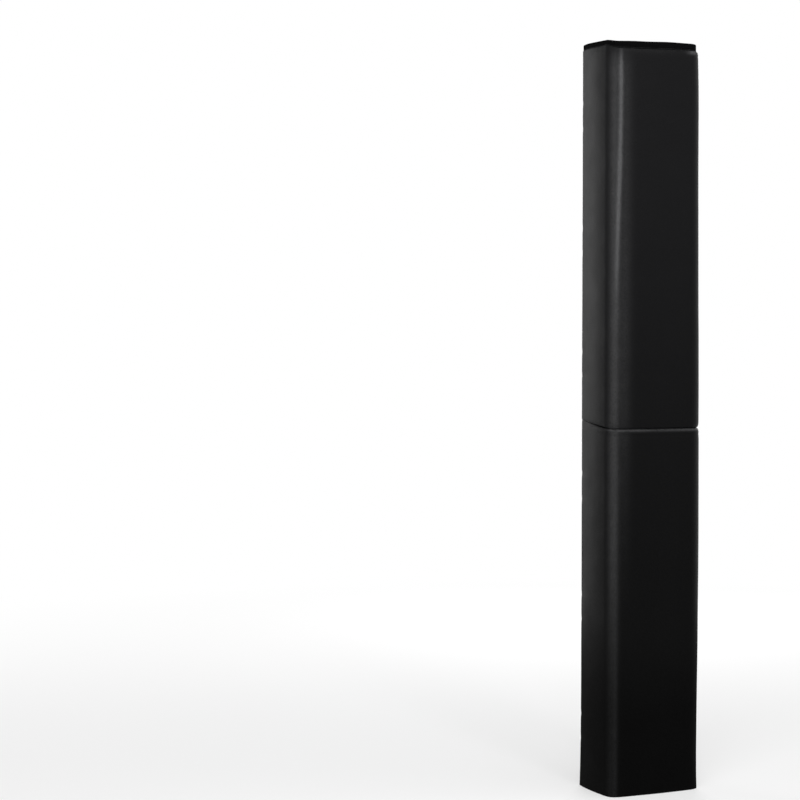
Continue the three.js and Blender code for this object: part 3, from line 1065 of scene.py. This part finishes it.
def box_corners(x_from, x_to, low, high):
    """A rectangle's corners, a margin inside a piece, and back to the first."""
    a, b, c, d = x_from + SEW_MARGIN, x_to - SEW_MARGIN, low + SEW_MARGIN, high - SEW_MARGIN
    return [(a, c), (b, c), (b, d), (a, d), (a, c)]


def pile(name, colour, spacing):
    """Nylon hook or loop pile: a mass of short stiff hairs, dull and rough."""
    return grained(name, colour, 0.95, 0.1, "TexVoronoi", 1.0, 0.5 * MM, Scale=1 / spacing)


strap_thread = sewing_thread("worn_polyester_thread", "#38383a")
strap_webbing = webbing_cloth("strap_webbing", "#121213", "#2b2b2d")
hook_pile = pile("hook_tape", "#202022", 1.1 * MM)
loop_pile = pile("loop_pile", "#1a1a1c", 0.8 * MM)

along_strap = np.r_[
    np.linspace(strap_root + FIT, closure_from - STRAP_BEND, 24),
    np.linspace(closure_from - STRAP_BEND, strap_end, 24)[1:],
]
along_closure = np.linspace(closure_from, closure_to, 16)
along_anchor = np.linspace(anchor_from, strap_root, 16)
strap_lines = {
    "band": np.c_[along_strap, strap_line(along_strap)],
    "hooks": np.c_[along_closure, rear_at(along_closure, HOOK_LIFT)],
    "loops": np.c_[along_closure, rear_at(along_closure)],
    "anchor": np.c_[along_anchor, rear_at(along_anchor)],
}


for number, (box_low, box_high) in strap_boxes.items():
    low, high = box_low[2], box_high[2]
    section = "lower" if high < fold_z else "upper"
    strap, left, right = f"strap_{number}", f"{section}_left_wing", f"{section}_right_wing"
    for label, stood_for, thickness, margin, clip, material, slot, body in (
        ("band", "webbing", STRAP_THICKNESS, 0, STRAP_CLIP, strap_webbing, "webbing", strap),
        ("hooks", "hook_tape", HOOK_THICKNESS, HOOK_MARGIN, 0, hook_pile, "hook_and_loop", strap),
        ("loops", "loop_patch", LOOP_THICKNESS, 0, 0, loop_pile, "hook_and_loop", right),
        ("anchor", "anchor_tab", STRAP_THICKNESS, 0, 0, strap_webbing, "webbing", left),
    ):
        patches = webbing_band(strap_lines[label], thickness, low + margin, high - margin, clip)
        piece = mesh_object(f"{strap}_{label}", patches)
        dress(piece, material, body, [f"{strap}_{stood_for}"])

    tab = box_corners(anchor_from, strap_root, low, high)
    closure = box_corners(closure_from, closure_to, low, high)
    for label, shapes, place, lift, body in (
        ("anchor", ([*tab, tab[2]], [tab[1], tab[3]]), rear_at, STRAP_THICKNESS, left),
        ("loop", (closure,), rear_at, LOOP_THICKNESS, right),
        ("hook", (closure,), strap_line, STRAP_THICKNESS, strap),
    ):
        rows = [row for shape in shapes for row in sewn_shape(shape, place, lift)]
        sewing = mesh_object(f"{strap}_{label}_stitches", rows, sharp=THREAD_SHARP)
        dress(sewing, strap_thread, body)


# Studio
# A pale floor that fades into a white surround. A wide soft box beside the camera draws the light
# line down the corner, a high one draws its top, and a bright wall behind the pad lights the wing.
# One box lights the back for the views from there, and one overhead lights the seam's roll.
FLOOR_COLOUR = "#ececec"
FLOOR_RADIUS = 40.0
FLOOR_NEAR, FLOOR_FAR = 0.5, 4.0
WHITE_NEAR, WHITE_FAR = 0.45, 1.0
AMBIENT = 0.15


def white_rays(tree):
    """1 for the rays that should see white: from the camera, in a gloss or through glass."""
    rays = node(tree, "LightPath").outputs
    seen = rays["Is Camera Ray"]
    for kind in ("Is Glossy Ray", "Is Transmission Ray"):
        seen = node(tree, "Math", {0: seen, 1: rays[kind]}, operation="MAXIMUM")
    return seen


def floor_paint():
    """Matt painted floor that keeps the pad's shadow and turns to plain white further out."""
    material, tree, shader = new_material("studio_floor", FLOOR_COLOUR, 0.9, 0)
    place = node(tree, "TexCoord").outputs["Object"]
    reach = node(tree, "VectorMath", {0: place}, operation="LENGTH").outputs["Value"]
    white = node(
        tree, "MapRange", interpolation_type="SMOOTHSTEP", From_Min=FLOOR_NEAR,
        From_Max=FLOOR_FAR, To_Min=WHITE_NEAR, To_Max=WHITE_FAR, Value=reach,
    )
    share = node(tree, "Math", {0: white_rays(tree), 1: white}, operation="MULTIPLY")
    glow = node(tree, "Emission", Color=(1, 1, 1, 1), Strength=1.0)
    mix = node(tree, "MixShader", {0: share, 1: shader, 2: glow})
    wire(tree.nodes["Material Output"], {"Surface": mix})
    return material


rim = np.linspace(0, 2 * np.pi, 97)
rings = [np.c_[r * np.cos(rim), r * np.sin(rim), rim * 0] for r in (0.0, 1.0, FLOOR_RADIUS)]
disc = np.stack(rings) - [0, 0, 0.2 * MM]
floor = mesh_object("studio_floor", [disc], merge=1e-6)
for polygon in floor.data.polygons:
    if polygon.normal.z < 0:
        polygon.flip()
floor.data.materials.append(floor_paint())

world = bpy.data.worlds.new("surround")
bpy.context.scene.world = world
world.use_nodes = True
tree = world.node_tree
strength = node(tree, "MapRange", To_Min=AMBIENT, To_Max=1.0, Value=white_rays(tree))
wire(tree.nodes["Background"], {"Color": (1, 1, 1, 1), "Strength": strength})


def soft_box(name, azimuth, distance, height, width, tall, radiance, tilt_to=1.0):
    """An area lamp at an azimuth from the front, aimed at the pad's axis at height tilt_to."""
    lamp = bpy.data.lights.new(name, "AREA")
    lamp.shape = "RECTANGLE"
    lamp.size = width
    lamp.size_y = tall
    lamp.energy = radiance * math.pi * width * tall
    holder = placed(name, lamp)
    turn = math.radians(azimuth)
    holder.location = (distance * math.sin(turn), -distance * math.cos(turn), height)
    pitch = math.atan2(height - tilt_to, distance)
    holder.rotation_euler = (math.pi / 2 - pitch, 0, turn)
    holder.visible_camera = False


soft_box("corner_box", -42, 3.0, 1.45, 2.0, 1.6, radiance=7.5)
soft_box("high_soft_box", 0, 3.2, 2.5, 0.5, 0.8, radiance=20.0, tilt_to=1.7)
soft_box("rear_wall", -153, 4.0, 1.8, 1.0, 2.4, radiance=3.4)
soft_box("back_box", 153, 3.5, 1.6, 2.0, 2.4, radiance=6.0)
soft_box("overhead", 25, 1.1, 3.4, 3.0, 1.0, radiance=4.5, tilt_to=0.9)
